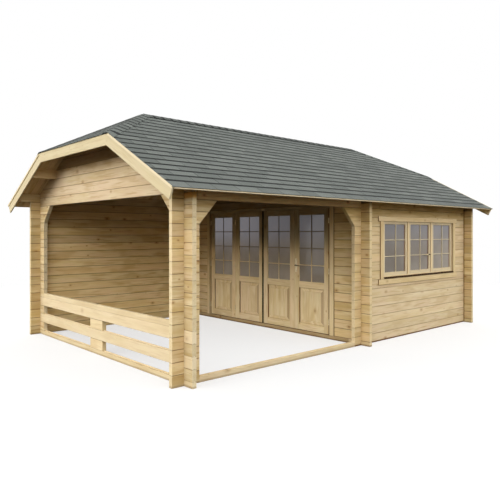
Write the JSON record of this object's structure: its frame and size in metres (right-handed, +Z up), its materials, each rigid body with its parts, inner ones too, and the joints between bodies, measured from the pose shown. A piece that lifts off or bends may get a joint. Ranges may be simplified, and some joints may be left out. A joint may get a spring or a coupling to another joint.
{
  "type": "log cabin",
  "caption": "Log cabin with an open veranda, a railing, a folding door and a window, notched tongue-and-groove logs and a shingled roof with half-hipped ends.",
  "frame": {"origin": "middle of the footprint at ground level", "axes": "+X to the right along the front, +Y to the back, +Z up"},
  "size_m": [7.1472, 4.8574, 3.3968],
  "materials": {
    "logs": "planed untreated pine with knots",
    "roof_timber": "planed untreated pine boards",
    "joinery": "sanded pine",
    "shingles": "mineral-surfaced felt, matt",
    "glass": "clear",
    "fittings": "zinc plated",
    "handle": "polished"
  },
  "bodies": {
    "root": {"front_corner_logs": "logs", "front_wall_logs": "logs", "veranda_sill_log": "logs", "front_beam_log": "logs", "front_plate_log": "logs", "back_wall_logs": "logs", "back_plate_log": "logs", "side_sill_log": "logs", "railing_logs": "logs", "railing_blocks": "logs", "front_post_side_logs": "logs", "back_post_side_logs": "logs", "left_gable_logs": "logs", "partition_sill_log": "logs", "partition_front_logs": "logs", "partition_back_logs": "logs", "partition_gable_logs": "logs", "right_wall_logs": "logs", "right_gable_logs": "logs", "side_purlins": "roof_timber", "ridge_purlin": "roof_timber", "hip_rafters": "roof_timber", "front_roof_boards": "roof_timber", "back_roof_boards": "roof_timber", "left_hip_boards": "roof_timber", "right_hip_boards": "roof_timber", "left_bargeboards": "roof_timber", "right_bargeboards": "roof_timber", "front_shingles": "shingles", "back_shingles": "shingles", "left_hip_shingles": "shingles", "right_hip_shingles": "shingles", "ridge_cap": "shingles", "hip_caps": "shingles", "door_frame": "joinery", "door_trim": "joinery", "door_leaf_1": "joinery", "door_leaf_2": "joinery", "door_leaf_3": "joinery", "door_leaf_4": "joinery", "window_frame": "joinery", "window_sashes": "joinery", "window_trim": "joinery", "door_glass": "glass", "window_glass": "glass", "door_fittings": "fittings", "door_handle": "handle"}
  },
  "joints": []
}
